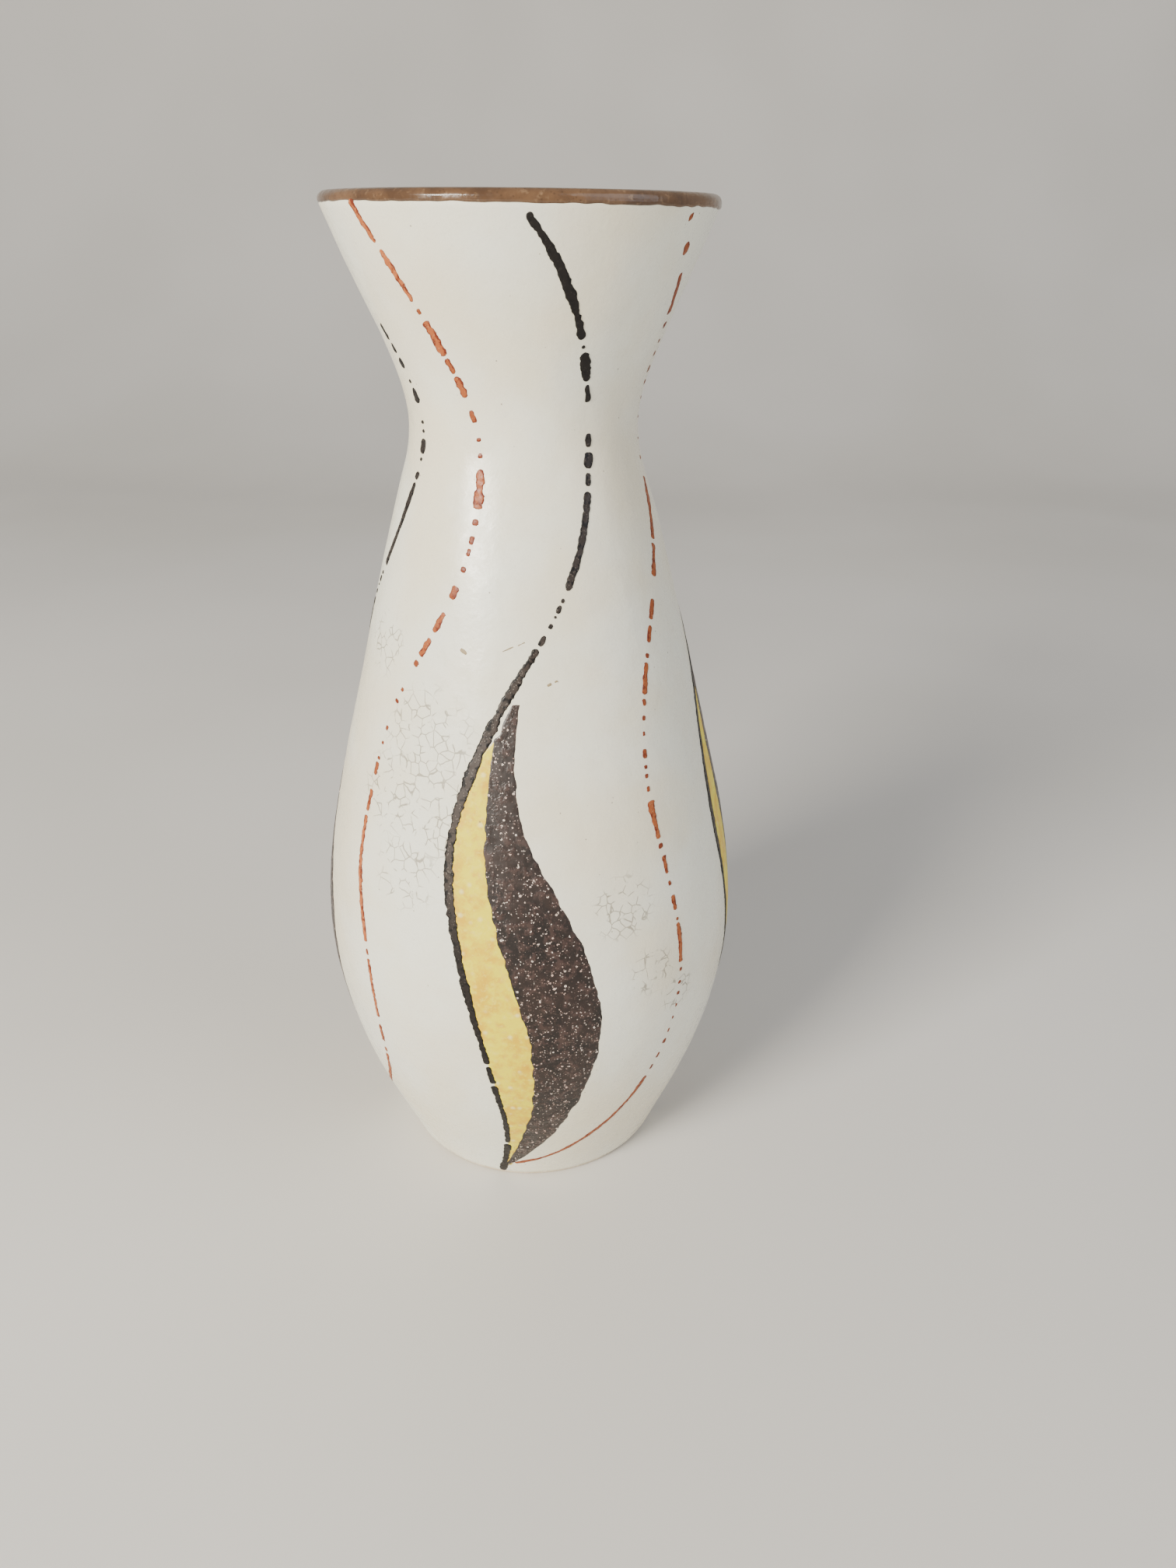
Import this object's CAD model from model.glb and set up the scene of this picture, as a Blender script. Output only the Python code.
import math
import random
import bmesh
import bpy
import numpy as np
from mathutils import Matrix, Vector, noise


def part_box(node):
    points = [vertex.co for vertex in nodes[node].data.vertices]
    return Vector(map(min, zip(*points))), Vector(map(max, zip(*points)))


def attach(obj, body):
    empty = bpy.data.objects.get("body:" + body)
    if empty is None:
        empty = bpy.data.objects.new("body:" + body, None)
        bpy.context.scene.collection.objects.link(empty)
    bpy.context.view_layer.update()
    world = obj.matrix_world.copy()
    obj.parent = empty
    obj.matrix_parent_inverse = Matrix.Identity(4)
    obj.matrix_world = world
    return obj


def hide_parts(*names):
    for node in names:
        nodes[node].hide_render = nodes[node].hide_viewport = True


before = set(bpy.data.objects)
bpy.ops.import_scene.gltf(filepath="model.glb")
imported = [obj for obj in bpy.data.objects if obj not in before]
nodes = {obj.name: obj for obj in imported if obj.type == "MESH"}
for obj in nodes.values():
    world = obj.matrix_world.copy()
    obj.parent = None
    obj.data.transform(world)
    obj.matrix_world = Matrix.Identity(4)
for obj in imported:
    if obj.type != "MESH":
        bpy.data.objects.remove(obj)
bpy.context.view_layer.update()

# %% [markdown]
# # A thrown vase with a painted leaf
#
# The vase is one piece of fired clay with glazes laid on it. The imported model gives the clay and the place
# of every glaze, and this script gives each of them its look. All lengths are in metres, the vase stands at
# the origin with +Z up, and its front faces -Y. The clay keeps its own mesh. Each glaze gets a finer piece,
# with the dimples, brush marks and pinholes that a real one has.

mm = 0.001
motifs = range(1, 5)


def add(tree, kind, inputs=None, **settings):
    """Adds a node. inputs gives a socket, by name or number, a value or another node's output."""
    new = tree.nodes.new(kind)
    for name, value in settings.items():
        setattr(new, name, value)
    for key, value in (inputs or {}).items():
        if isinstance(value, bpy.types.NodeSocket):
            tree.links.new(value, new.inputs[key])
        else:
            new.inputs[key].default_value = value
    return new


def linear(code):
    """A colour in sRGB hex, such as #d8c8a0, as the linear values that a shader needs."""
    parts = [int(code[i:i + 2], 16) / 255 for i in (1, 3, 5)]
    return (*[p / 12.92 if p <= 0.04045 else ((p + 0.055) / 1.055) ** 2.4 for p in parts], 1.0)


def show(name, mesh):
    """Puts a mesh in the scene as an object at the origin."""
    piece = bpy.data.objects.new(name, mesh)
    bpy.context.scene.collection.objects.link(piece)
    return piece


# %% [markdown]
# ## Reading the side off the clay
#
# The side of the vase could be drawn again, but then two drawings would have to agree. Here it is read off
# the clay instead. The clay's points lie in level rows, and the widest point of a row is on the outside.
# A smooth curve through the rows then gives the radius at any height. The glaze lies on the clay, so the
# curve is moved outwards by the glaze's thickness, square to the side.

# %% The side's radius at any height
def points_of(node):
    flat = np.empty(len(nodes[node].data.vertices) * 3, np.float32)
    nodes[node].data.vertices.foreach_get("co", flat)
    return flat.reshape(-1, 3).astype(float)


def widest_rows(points, apart=4 * mm):
    """(height, radius) of the widest point in each band of height."""
    radius = np.hypot(points[:, 0], points[:, 1])
    band = np.floor(points[:, 2] / apart)
    widest = [np.flatnonzero(band == b)[np.argmax(radius[band == b])] for b in np.unique(band)]
    return np.column_stack([points[widest, 2], radius[widest]])


def through(knots, values, wanted):
    """A smooth curve through the knots, as a cubic between each two that keeps the slope of both."""
    slopes = np.gradient(values, knots)
    i = np.clip(np.searchsorted(knots, wanted) - 1, 0, len(knots) - 2)
    gap = knots[i + 1] - knots[i]
    t = (wanted - knots[i]) / gap
    return ((2 * t**3 - 3 * t**2 + 1) * values[i] + (t**3 - 2 * t**2 + t) * gap * slopes[i]
            + (3 * t**2 - 2 * t**3) * values[i + 1] + (t**3 - t**2) * gap * slopes[i + 1])


def moved_out(rows, depth):
    """Rows moved out square to the side."""
    slope = np.gradient(rows[:, 1], rows[:, 0])
    return rows + depth * np.column_stack([-slope, np.ones(len(rows))]) / np.hypot(1, slope)[:, None]


clay_points = points_of("clay_body")
clay_rows = widest_rows(clay_points[(clay_points[:, 2] > 1 * mm) & (clay_points[:, 2] < 246.5 * mm)])
skin = widest_rows(points_of("white_glaze_coat"))[:, 1].max() - clay_rows[:, 1].max()
glazed_rows = moved_out(clay_rows, skin)
coat_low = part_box("white_glaze_coat")[0].z
coat_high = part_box("white_glaze_coat")[1].z
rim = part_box("brown_lip_glaze")[1].z


def side(heights):
    return through(glazed_rows[:, 0], glazed_rows[:, 1], np.asarray(heights, float))


print("glaze", round(skin / mm, 3), "mm; radius at the foot, belly and waist",
      np.round(side([3 * mm, 70 * mm, 202.5 * mm]) / mm, 2))

# %% [markdown]
# ## A ruler and a tree that lays things on the side
#
# Paint follows the pot, so every piece below has to lie on the same surface. A row of points, one each half
# millimetre of height, holds the radius and works as a ruler. The tree looks up the radius for the height of
# each vertex and moves the vertex there, along its own direction from the axis. It also adds the soft
# dimples that a hand-dipped glaze dries with. Every piece reads the same noise, so the paint rises and
# dips with the glaze below it.

# %% The ruler
ruler_step = 0.5 * mm
ruler_heights = np.arange(0, rim + ruler_step, ruler_step)
ruler_mesh = bpy.data.meshes.new("side_ruler")
ruler_mesh.from_pydata([(r, 0, z) for r, z in zip(side(ruler_heights), ruler_heights)], [], [])
ruler = show("side_ruler", ruler_mesh)
print("ruler marks", len(ruler_heights))


# %% Starting and ending a geometry tree
def new_tree(name, inputs):
    """A geometry tree with named inputs. Gives the tree, its input sockets and its output sockets."""
    tree = bpy.data.node_groups.new(name, "GeometryNodeTree")
    for label, kind in inputs.items():
        tree.interface.new_socket(label, in_out="INPUT", socket_type="NodeSocket" + kind)
    tree.interface.new_socket("Geometry", in_out="OUTPUT", socket_type="NodeSocketGeometry")
    return tree, tree.nodes.new("NodeGroupInput").outputs, tree.nodes.new("NodeGroupOutput").inputs


def end_tree(tree, geometry, material, result):
    """Makes the geometry smooth and real, gives it its material and links it to the output."""
    smooth = add(tree, "GeometryNodeSetShadeSmooth", {0: geometry})
    real = add(tree, "GeometryNodeRealizeInstances", {0: smooth.outputs[0]})
    done = add(tree, "GeometryNodeSetMaterial", {0: real.outputs[0], "Material": material})
    tree.links.new(done.outputs[0], result[0])
    print(tree.name, len(tree.nodes), "nodes")


def noise_between(tree, place, size, low, high, detail=2.0):
    """Noise with blobs of a size, spread from low to high."""
    blobs = add(tree, "ShaderNodeTexNoise", {"Vector": place, "Scale": 1 / size, "Detail": detail})
    return add(tree, "ShaderNodeMapRange", {
        0: blobs.outputs[0], 1: 0.25, 2: 0.75, 3: low, 4: high}).outputs[0]


# %% The tree that lays things on the side
# Radius at each point's height, read between the two nearest marks of the ruler.
lay, given, result = new_tree("Lay on the side", {
    "Geometry": "Geometry", "Ruler": "Object", "Lift": "Float"})
parts = add(lay, "ShaderNodeSeparateXYZ", {0: add(lay, "GeometryNodeInputPosition").outputs[0]}).outputs
outwards = add(lay, "ShaderNodeVectorMath", {
    0: add(lay, "ShaderNodeCombineXYZ", {0: parts[0], 1: parts[1]}).outputs[0]},
    operation="NORMALIZE").outputs[0]
upwards = add(lay, "ShaderNodeCombineXYZ", {2: parts[2]}).outputs[0]
mark = add(lay, "ShaderNodeMath", {0: parts[2], 1: ruler_step}, operation="DIVIDE").outputs[0]
mark_below = add(lay, "ShaderNodeMath", {0: mark}, operation="FLOOR").outputs[0]
mark_above = add(lay, "ShaderNodeMath", {0: mark_below, 1: 1.0}).outputs[0]
ruler_points = add(lay, "GeometryNodeObjectInfo", {0: given["Ruler"]}).outputs["Geometry"]
ruler_radius = add(lay, "ShaderNodeSeparateXYZ", {
    0: add(lay, "GeometryNodeInputPosition").outputs[0]}).outputs[0]
radius_below, radius_above = [
    add(lay, "GeometryNodeSampleIndex", {0: ruler_points, 1: ruler_radius, 2: index}).outputs[0]
    for index in (mark_below, mark_above)]
radius = add(lay, "ShaderNodeMix", {
    0: add(lay, "ShaderNodeMath", {0: mark}, operation="FRACT").outputs[0],
    2: radius_below, 3: radius_above}).outputs[0]
on_side = add(lay, "ShaderNodeVectorMath", {
    0: add(lay, "ShaderNodeVectorMath", {0: outwards, "Scale": radius}, operation="SCALE").outputs[0],
    1: upwards}).outputs[0]
# Dimples: small ones on broad ones.
small_dimples = noise_between(lay, on_side, 7 * mm, -0.07 * mm, 0.07 * mm)
broad_dimples = noise_between(lay, on_side, 26 * mm, -0.16 * mm, 0.16 * mm, detail=0.0)
# The rim was smoothed with a wet finger, so the dimples fade out there.
smoothed = add(lay, "ShaderNodeMapRange", {
    0: parts[2], 1: rim - 14 * mm, 2: rim - 4 * mm, 3: 1.0, 4: 0.1}).outputs[0]
lifted = add(lay, "ShaderNodeMath", {0: small_dimples, 1: broad_dimples}).outputs[0]
lifted = add(lay, "ShaderNodeMath", {0: lifted, 1: smoothed, 2: given["Lift"]},
             operation="MULTIPLY_ADD").outputs[0]
moved = add(lay, "ShaderNodeVectorMath", {
    0: add(lay, "ShaderNodeVectorMath", {0: outwards, "Scale": lifted}, operation="SCALE").outputs[0],
    1: on_side}).outputs[0]
lay.links.new(
    add(lay, "GeometryNodeSetPosition", {0: given["Geometry"], "Position": moved}).outputs[0], result[0])
print(lay.name, len(lay.nodes), "nodes")


# %% From a tree to a plain mesh
def facing_out(mesh):
    """Turns the faces over if most of them look at the axis."""
    centres = np.empty(len(mesh.polygons) * 3, np.float32)
    normals = np.empty(len(mesh.polygons) * 3, np.float32)
    mesh.polygons.foreach_get("center", centres)
    mesh.polygons.foreach_get("normal", normals)
    if np.sum(centres.reshape(-1, 3)[:, :2] * normals.reshape(-1, 3)[:, :2]) < 0:
        mesh.flip_normals()


def made_plain(piece):
    """Keeps what a piece's modifiers make as its own plain mesh."""
    bpy.context.view_layer.update()
    plain = bpy.data.meshes.new_from_object(piece.evaluated_get(bpy.context.evaluated_depsgraph_get()))
    piece.modifiers.clear()
    piece.data = plain


def grown(name, mesh, tree, values, thickness=0.0):
    """Runs a tree on a mesh, and gives what comes out a thickness inwards if asked."""
    piece = show(name, mesh)
    modifier = piece.modifiers.new(tree.name, "NODES")
    modifier.node_group = tree
    for item in tree.interface.items_tree:
        if item.in_out == "INPUT" and item.name in values:
            modifier[item.identifier] = values[item.name]
    made_plain(piece)
    if thickness:
        facing_out(piece.data)
        shell = piece.modifiers.new("thickness", "SOLIDIFY")
        shell.thickness, shell.offset = thickness, -1.0
        made_plain(piece)
    piece.data.name = name
    print(name, len(piece.data.polygons), "faces")
    return piece


# %% [markdown]
# ## Surfaces: how the materials are built
#
# A shader tree could be clicked together node by node, but a glaze is easier to read as layers: a first
# colour, then other colours laid over it where a pattern says so. The helpers below follow that. Patterns
# are made by noise in the object's own metres, so a size in millimetres means the same on every piece.

# %% Starting and ending a material
def new_material(name):
    """A material, its tree and the place of the shaded point in metres."""
    look = bpy.data.materials.new(name)
    look.use_nodes = True
    tree = look.node_tree
    return look, tree, add(tree, "ShaderNodeTexCoord").outputs["Object"]


def finish_shader(look, colour, roughness, height=None, depth=0.02 * mm, ior=1.5):
    """Links colour, roughness and a fine relief into the shader, and sets how strongly it bends light."""
    tree = look.node_tree
    shader = tree.nodes["Principled BSDF"]
    shader.inputs["IOR"].default_value = ior
    tree.links.new(colour, shader.inputs["Base Color"])
    tree.links.new(roughness, shader.inputs["Roughness"])
    if height:
        tree.links.new(add(tree, "ShaderNodeBump", {
            "Height": height, "Strength": 1.0, "Distance": depth}).outputs[0], shader.inputs["Normal"])
    print(look.name, len(tree.nodes), "nodes, IOR", ior)


# %% Patterns and layers of colour
def mottle(tree, place, size, cut, spread=(0.0, 1.0), detail=2.0, roughness=0.5):
    """Soft blobs of a size. Noise below and above the two levels of cut becomes the two ends of spread."""
    noise_here = add(tree, "ShaderNodeTexNoise", {
        "Vector": place, "Scale": 1 / size, "Detail": detail, "Roughness": roughness}).outputs[0]
    return add(tree, "ShaderNodeMapRange", {
        0: noise_here, 1: cut[0], 2: cut[1], 3: spread[0], 4: spread[1]},
        interpolation_type="SMOOTHSTEP").outputs[0]


def spots_of(tree, place, size, cut, share=None):
    """Round spots, one in each cell of a size. cut gives where a spot starts and stops fading, in cells.

    share keeps only the cells whose random number passes its two levels.
    """
    cells = add(tree, "ShaderNodeTexVoronoi", {"Vector": place, "Scale": 1 / size}).outputs
    spots = add(tree, "ShaderNodeMapRange", {0: cells[0], 1: cut[0], 2: cut[1], 3: 1.0, 4: 0.0},
                interpolation_type="SMOOTHSTEP").outputs[0]
    if share is None:
        return spots
    draw = add(tree, "ShaderNodeSeparateXYZ", {0: cells[1]}).outputs[0]
    kept = add(tree, "ShaderNodeMapRange", {0: draw, 1: share[0], 2: share[1]},
               interpolation_type="SMOOTHSTEP").outputs[0]
    return add(tree, "ShaderNodeMath", {0: spots, 1: kept}, operation="MULTIPLY").outputs[0]


def layered(tree, first, layers):
    """Colours laid one over another. A layer is (where its pattern is, how strong, sRGB hex)."""
    colour = linear(first)
    for where, strength, code in layers:
        if strength < 1:
            where = add(tree, "ShaderNodeMath", {0: where, 1: strength}, operation="MULTIPLY").outputs[0]
        colour = add(tree, "ShaderNodeMix", {0: where, 6: colour, 7: linear(code)},
                     data_type="RGBA").outputs[2]
    return colour


# %% [markdown]
# ### White glaze
#
# The coat is a tin glaze: a clear glaze that tin oxide turns white, dipped in one go. Where it lies thin the
# clay warms it a little. It is glossy but not like glass, because small crystals and gas bubbles break up
# the surface. In a few places it has crazed, which leaves a fine brown net. The cracks could be cut into
# the mesh, but a real one is finer than a hair and shows only as colour, so a cell pattern draws them.

# %% The crazed places
def place_at(angle, height):
    """The point of the side at an angle in degrees, from the front towards +X, and a height."""
    turn = math.radians(angle)
    radius_here = float(side([height])[0])
    return Vector((radius_here * math.sin(turn), -radius_here * math.cos(turn), height))


# Each is (degrees from the front, height, reach), with the last two in millimetres.
crazed = [(-30, 135, 15), (-25, 118, 13), (-33, 102, 11), (-42, 120, 12), (-56, 153, 9),
          (28, 95, 10), (36, 76, 8), (45, 66, 7),
          (118, 120, 13), (205, 150, 10), (160, 60, 11), (262, 88, 9)]


def crazing(tree, place, crack_spacing=2.8 * mm, bend_size=3.125 * mm, bend=1.2 * mm):
    """A net of thin cracks. A cell's edges are straight, so the place is bent before they are drawn."""
    bending = add(tree, "ShaderNodeTexNoise", {"Vector": place, "Scale": 1 / bend_size}).outputs[1]
    bent = add(tree, "ShaderNodeVectorMath", {0: bending, 1: (bend, bend, bend), 2: place},
               operation="MULTIPLY_ADD").outputs[0]
    from_crack = add(tree, "ShaderNodeTexVoronoi", {"Vector": bent, "Scale": 1 / crack_spacing},
                     feature="DISTANCE_TO_EDGE").outputs[0]
    cracks = add(tree, "ShaderNodeMapRange", {0: from_crack, 1: 0.018, 2: 0.055, 3: 1.0, 4: 0.0},
                 interpolation_type="SMOOTHSTEP").outputs[0]
    patches = 0.0
    for angle, height, reach in crazed:
        away = add(tree, "ShaderNodeVectorMath", {0: place, 1: place_at(angle, height * mm)},
                   operation="DISTANCE").outputs["Value"]
        patch = add(tree, "ShaderNodeMapRange", {
            0: away, 1: 0.6 * reach * mm, 2: reach * mm, 3: 1.0, 4: 0.0},
            interpolation_type="SMOOTHSTEP").outputs[0]
        patches = add(tree, "ShaderNodeMath", {0: patches, 1: patch}, operation="MAXIMUM").outputs[0]
    net = add(tree, "ShaderNodeMath", {0: cracks, 1: patches}, operation="MULTIPLY").outputs[0]
    return add(tree, "ShaderNodeMath", {0: net, 1: mottle(tree, place, 4 * mm, (0.42, 0.52))},
               operation="MULTIPLY").outputs[0]


print("crazed places", len(crazed))

# %% White tin glaze
# The eye gets a warm white with soft clouds, a fine grain and a gloss that changes from spot to spot.
# Iron specks from the clay come through as pinpricks, about one on every three square centimetres.
white_glaze, tree, place = new_material("tin_white_glaze")
colour = layered(tree, "#eeeddc", [
    (mottle(tree, place, 34 * mm, (0.35, 0.68), detail=3), 1, "#eae1c6"),
    (mottle(tree, place, 5 * mm, (0.5, 0.8), detail=4, roughness=0.6), 0.35, "#e3dcc6"),
    (mottle(tree, place, 0.5 * mm, (0.55, 0.8)), 0.3, "#d5cfbd"),
    (spots_of(tree, place, 3.2 * mm, (0.03, 0.075), share=(0.72, 0.78)), 0.75, "#6d5c4a"),
    (crazing(tree, place), 0.75, "#857b69")])
gloss = mottle(tree, place, 3 * mm, (0.3, 0.7), (0.20, 0.40), detail=4, roughness=0.7)
peel = add(tree, "ShaderNodeTexNoise", {
    "Vector": place, "Scale": 1 / (1.1 * mm), "Detail": 3, "Roughness": 0.55}).outputs[0]
finish_shader(white_glaze, colour, gloss, peel, 0.05 * mm)

# %% [markdown]
# ### Brown lip glaze
#
# The rim was dipped in a glaze stained with iron oxide. It ran a little before the firing, so its colour
# breaks: darker where it pooled and lighter where it is thin over the edge. It is the glossiest thing here,
# and the eye reads it as wet.

# %% Iron-brown glaze, for the lip
lip_brown, tree, place = new_material("iron_brown_glaze")
colour = layered(tree, "#4e3826", [
    (mottle(tree, place, 9 * mm, (0.34, 0.66), detail=4, roughness=0.6), 1, "#6b4f36"),
    (mottle(tree, place, 1.2 * mm, (0.55, 0.8), detail=3), 0.5, "#9a7c5c"),
    (spots_of(tree, place, 0.9 * mm, (0.1, 0.3)), 0.4, "#3a2a1c")])
ripple = add(tree, "ShaderNodeTexNoise", {"Vector": place, "Scale": 1 / (1.5 * mm)}).outputs[0]
finish_shader(lip_brown, colour, mottle(tree, place, 2 * mm, (0.3, 0.7), (0.12, 0.26)),
              ripple, 0.06 * mm, ior=1.53)

# %% [markdown]
# ### Lining glaze
#
# The inside was rinsed with the same iron glaze, thinned with water: it is poured in, turned round and
# poured out again. That leaves an even coat, a little darker towards the floor where the last of it stays.

# %% Thinned iron glaze, for the inside
lining_brown, tree, place = new_material("iron_brown_lining")
height = add(tree, "ShaderNodeSeparateXYZ", {0: place}).outputs[2]
up_the_wall = add(tree, "ShaderNodeMapRange", {0: height, 1: 0.0, 2: 120 * mm},
                  interpolation_type="SMOOTHSTEP").outputs[0]
colour = layered(tree, "#4a3629", [
    (up_the_wall, 1, "#7b614c"),
    (mottle(tree, place, 9 * mm, (0.4, 0.7), detail=4), 0.5, "#8f765e"),
    (spots_of(tree, place, 1.6 * mm, (0.08, 0.2)), 0.6, "#3b2a20")])
ripple = add(tree, "ShaderNodeTexNoise", {"Vector": place, "Scale": 1 / (1.8 * mm)}).outputs[0]
finish_shader(lining_brown, colour, mottle(tree, place, 5 * mm, (0.3, 0.7), (0.20, 0.34)),
              ripple, 0.05 * mm)

# %% [markdown]
# ### Yellow glaze
#
# The yellow half of each leaf is a lead-free tin-vanadium yellow, brushed on thick. It boils a little in the
# kiln, and each bubble that healed leaves a pale spot, so the yellow looks cloudy.

# %% Vanadium yellow glaze
yellow_glaze, tree, place = new_material("vanadium_yellow_glaze")
healed = spots_of(tree, place, 2.7 * mm, (0.05, 0.36), share=(0.5, 0.62))
colour = layered(tree, "#ecda20", [
    (mottle(tree, place, 7 * mm, (0.4, 0.6), detail=5, roughness=0.65), 1, "#e0b50a"),
    (mottle(tree, place, 2.6 * mm, (0.5, 0.72), detail=4, roughness=0.65), 0.9, "#d9a00c"),
    (mottle(tree, place, 1.3 * mm, (0.5, 0.72), detail=3, roughness=0.65), 0.6, "#f2e65c"),
    (healed, 0.65, "#f9eda0"),
    (spots_of(tree, place, 4.5 * mm, (0.03, 0.06), share=(0.6, 0.66)), 0.8, "#6b5327")])
ripple = add(tree, "ShaderNodeTexNoise", {"Vector": place, "Scale": 1 / (1.2 * mm)}).outputs[0]
relief = add(tree, "ShaderNodeMath", {0: healed, 1: ripple}, operation="ADD").outputs[0]
finish_shader(yellow_glaze, colour, mottle(tree, place, 4 * mm, (0.3, 0.7), (0.30, 0.45)),
              relief, 0.05 * mm)

# %% [markdown]
# ### Brown leaf glaze
#
# The other half is coloured with manganese, which gives off gas in the kiln. The glaze is full of pinholes
# with pale rims and of froth where bubbles almost healed, so the eye gets a dark field peppered with light.
# The larger pinholes are real geometry, made below, and the finest ones are drawn here.

# %% Manganese brown glaze
brown_glaze, tree, place = new_material("manganese_brown_glaze")
height = add(tree, "ShaderNodeSeparateXYZ", {0: place}).outputs[2]
clustered = mottle(tree, place, 2.2 * mm, (0.46, 0.66), detail=3, roughness=0.6)
# Froth gathers in the clusters and towards the foot.
in_clusters = add(tree, "ShaderNodeMapRange", {0: clustered, 1: 0.0, 2: 0.7, 3: 0.3, 4: 1.0},
                  interpolation_type="SMOOTHSTEP").outputs[0]
low_down = add(tree, "ShaderNodeMapRange", {0: height, 1: 30 * mm, 2: 120 * mm, 3: 1.0, 4: 0.45},
               interpolation_type="SMOOTHSTEP").outputs[0]
froth = spots_of(tree, place, 0.55 * mm, (0.12, 0.36), share=(0.4, 0.6))
for share in (in_clusters, low_down):
    froth = add(tree, "ShaderNodeMath", {0: froth, 1: share}, operation="MULTIPLY").outputs[0]
pricks = spots_of(tree, place, 1.0 * mm, (0.1, 0.24), share=(0.5, 0.6))
# The upper end of the leaf lies thinner and greyer.
thinner = add(tree, "ShaderNodeMapRange", {0: height, 1: 80 * mm, 2: 145 * mm},
              interpolation_type="SMOOTHSTEP").outputs[0]
colour = layered(tree, "#140b08", [
    (mottle(tree, place, 7 * mm, (0.38, 0.62), detail=5, roughness=0.65), 1, "#271a15"),
    (clustered, 0.6, "#4b3630"), (froth, 0.85, "#a0857b"), (pricks, 0.85, "#cfbdb3"),
    (thinner, 0.25, "#5a514b")])
relief = add(tree, "ShaderNodeMath", {0: clustered, 1: pricks}, operation="SUBTRACT").outputs[0]
finish_shader(brown_glaze, colour, mottle(tree, place, 2 * mm, (0.3, 0.7), (0.3, 0.5)),
              relief, 0.08 * mm)

# %% [markdown]
# ### Inside a pinhole
#
# The brown stops at a pinhole's rim, and the eye sees the pale, dull layer under it. A hole well under a
# millimetre wide could be cut, but its depth wouldn't show, so each is a small disc with its own material.

# %% Pale layer under the brown
pinhole_white, tree, place = new_material("pale_pinhole")
colour = layered(tree, "#d9cdc0", [(mottle(tree, place, 3 * mm, (0.35, 0.65)), 1, "#c9a99a")])
finish_shader(pinhole_white, colour, mottle(tree, place, 1 * mm, (0.3, 0.7), (0.5, 0.7)))

# %% [markdown]
# ### Black and rust lines
#
# Both lines are oxide and water, put on with a brush: cobalt and manganese for the black, iron for the rust.
# The brush leaves more at its edges, so a stroke has a darker outline and a paler, bubbly middle. The
# attribute "across" runs from -1 to 1 over the stroke and tells the shader where the edges are. The
# attribute "pale" says how washed out the stroke is there.

# %% Brushed oxides
def oxide(name, edge, middle, bubble, wash):
    """A brushed oxide, with its edge, middle and bubble colours and how strongly the middle pales."""
    look, tree, place = new_material(name)
    across = add(tree, "ShaderNodeAttribute", attribute_name="across").outputs["Fac"]
    washed = add(tree, "ShaderNodeAttribute", attribute_name="pale").outputs["Fac"]
    wander = mottle(tree, place, 1.2 * mm, (0.3, 0.7), (-0.45, 0.45), detail=3)
    from_middle = add(tree, "ShaderNodeMath", {0: across, 1: across, 2: wander},
                      operation="MULTIPLY_ADD").outputs[0]
    pale = add(tree, "ShaderNodeMapRange", {0: from_middle, 1: 0.15, 2: 0.55, 3: 1.0, 4: 0.0},
               interpolation_type="SMOOTHSTEP").outputs[0]
    pale = add(tree, "ShaderNodeMath", {0: pale, 1: washed}, operation="MULTIPLY").outputs[0]
    bubbles = spots_of(tree, place, 0.6 * mm, (0.12, 0.32))
    pale_bubbles = add(tree, "ShaderNodeMath", {0: bubbles, 1: washed}, operation="MULTIPLY").outputs[0]
    colour = layered(tree, edge, [(pale, wash, middle), (pale_bubbles, 0.5, bubble)])
    # Oxide without much glaze in it shines less than the coat.
    tree.nodes["Principled BSDF"].inputs["Specular IOR Level"].default_value = 0.3
    finish_shader(look, colour, mottle(tree, place, 1 * mm, (0.3, 0.7), (0.35, 0.6)),
                  bubbles, 0.03 * mm)
    return look


black_oxide = oxide("cobalt_manganese_black", "#0b0706", "#433a34", "#8f857a", 0.85)
rust_oxide = oxide("iron_oxide_rust", "#6c260c", "#bb6a38", "#d49d72", 0.9)
iron_stain = oxide("iron_stain", "#786545", "#b09c78", "#cfc2a6", 0.9)

# %% [markdown]
# ### Bare clay
#
# The vase stands on a ring of bare clay, wiped clean so that it doesn't stick to the kiln shelf. The clay
# is a buff stoneware with fine sand in it. It is dull and dry, so it takes no highlight.

# %% Buff stoneware
stoneware, tree, place = new_material("buff_stoneware")
colour = layered(tree, "#d3c4a8", [
    (mottle(tree, place, 6 * mm, (0.35, 0.65), detail=5, roughness=0.6), 1, "#dfd2ba"),
    (spots_of(tree, place, 0.7 * mm, (0.1, 0.3)), 0.6, "#7f6a50")])
sand = add(tree, "ShaderNodeTexNoise", {
    "Vector": place, "Scale": 1 / (0.5 * mm), "Detail": 4}).outputs[0]
finish_shader(stoneware, colour, mottle(tree, place, 1 * mm, (0.3, 0.7), (0.75, 0.92)),
              sand, 0.06 * mm)
nodes["clay_body"].data.materials.clear()
nodes["clay_body"].data.materials.append(stoneware)

# %% [markdown]
# ## The white coat
#
# A potter dips the vase foot up, and the glaze stops where the foot is wiped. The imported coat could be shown
# as it is, but its faces are uneven, with edges up to 8 mm long, and dimples need small even ones. So a tree
# starts from a plain tube of points, spreads it between the two edges of the glaze and lays it on the side.
# The first and the last row of points are tucked in by the glaze's thickness, for a rounded edge.

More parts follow.
